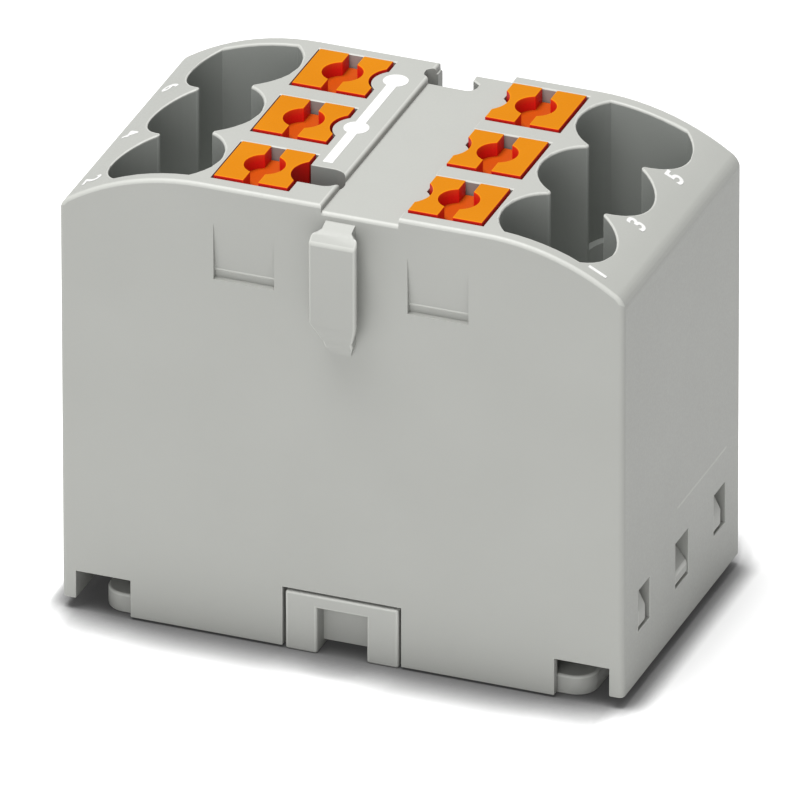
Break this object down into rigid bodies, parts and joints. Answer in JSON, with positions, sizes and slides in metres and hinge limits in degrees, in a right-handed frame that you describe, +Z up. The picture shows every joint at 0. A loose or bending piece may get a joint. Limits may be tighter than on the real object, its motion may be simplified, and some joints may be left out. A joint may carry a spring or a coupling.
{
  "type": "power distribution block",
  "caption": "Moulded push-in power distribution block that joins conductors on one current bar, with push buttons that open its clamps and a dovetail rib and slot for lining blocks up.",
  "frame": {"origin": "middle of the underside of the base cover, on which the block rests", "axes": "+X across both banks of ways, +Y from the front face with the joining rib to the back face, +Z up towards the buttons"},
  "size_m": [0.0288, 0.017, 0.0244],
  "materials": {
    "housing_plastic": "light grey moulded polyamide with a fine eroded grain",
    "base_plastic": "light grey moulded polyamide",
    "button_plastic": "orange moulded polyamide, satin",
    "bar_metal": "tin-plated copper strip",
    "spring_steel": "rolled stainless spring strip"
  },
  "bodies": {
    "block": {"housing": "housing_plastic", "base_cover": "base_plastic", "busbar": "bar_metal", "clamp_spring_1": "spring_steel", "clamp_spring_2": "spring_steel", "clamp_spring_3": "spring_steel", "clamp_spring_4": "spring_steel", "clamp_spring_5": "spring_steel", "clamp_spring_6": "spring_steel"},
    "button_1": {"push_button_1": "button_plastic"},
    "button_2": {"push_button_2": "button_plastic"},
    "button_3": {"push_button_3": "button_plastic"},
    "button_4": {"push_button_4": "button_plastic"},
    "button_5": {"push_button_5": "button_plastic"},
    "button_6": {"push_button_6": "button_plastic"}
  },
  "joints": [
    {"name": "press_1", "type": "slide", "parent": "block", "child": "button_1", "axis": [0, 0, -1], "range_m": [0, 0.0016], "stiffness_N_per_m": 8000, "springref_m": -0.0004, "deforming": ["clamp_spring_1"]},
    {"name": "press_2", "type": "slide", "parent": "block", "child": "button_2", "axis": [0, 0, -1], "range_m": [0, 0.0016], "stiffness_N_per_m": 8000, "springref_m": -0.0004, "deforming": ["clamp_spring_2"]},
    {"name": "press_3", "type": "slide", "parent": "block", "child": "button_3", "axis": [0, 0, -1], "range_m": [0, 0.0016], "stiffness_N_per_m": 8000, "springref_m": -0.0004, "deforming": ["clamp_spring_3"]},
    {"name": "press_4", "type": "slide", "parent": "block", "child": "button_4", "axis": [0, 0, -1], "range_m": [0, 0.0016], "stiffness_N_per_m": 8000, "springref_m": -0.0004, "deforming": ["clamp_spring_4"]},
    {"name": "press_5", "type": "slide", "parent": "block", "child": "button_5", "axis": [0, 0, -1], "range_m": [0, 0.0016], "stiffness_N_per_m": 8000, "springref_m": -0.0004, "deforming": ["clamp_spring_5"]},
    {"name": "press_6", "type": "slide", "parent": "block", "child": "button_6", "axis": [0, 0, -1], "range_m": [0, 0.0016], "stiffness_N_per_m": 8000, "springref_m": -0.0004, "deforming": ["clamp_spring_6"]}
  ]
}
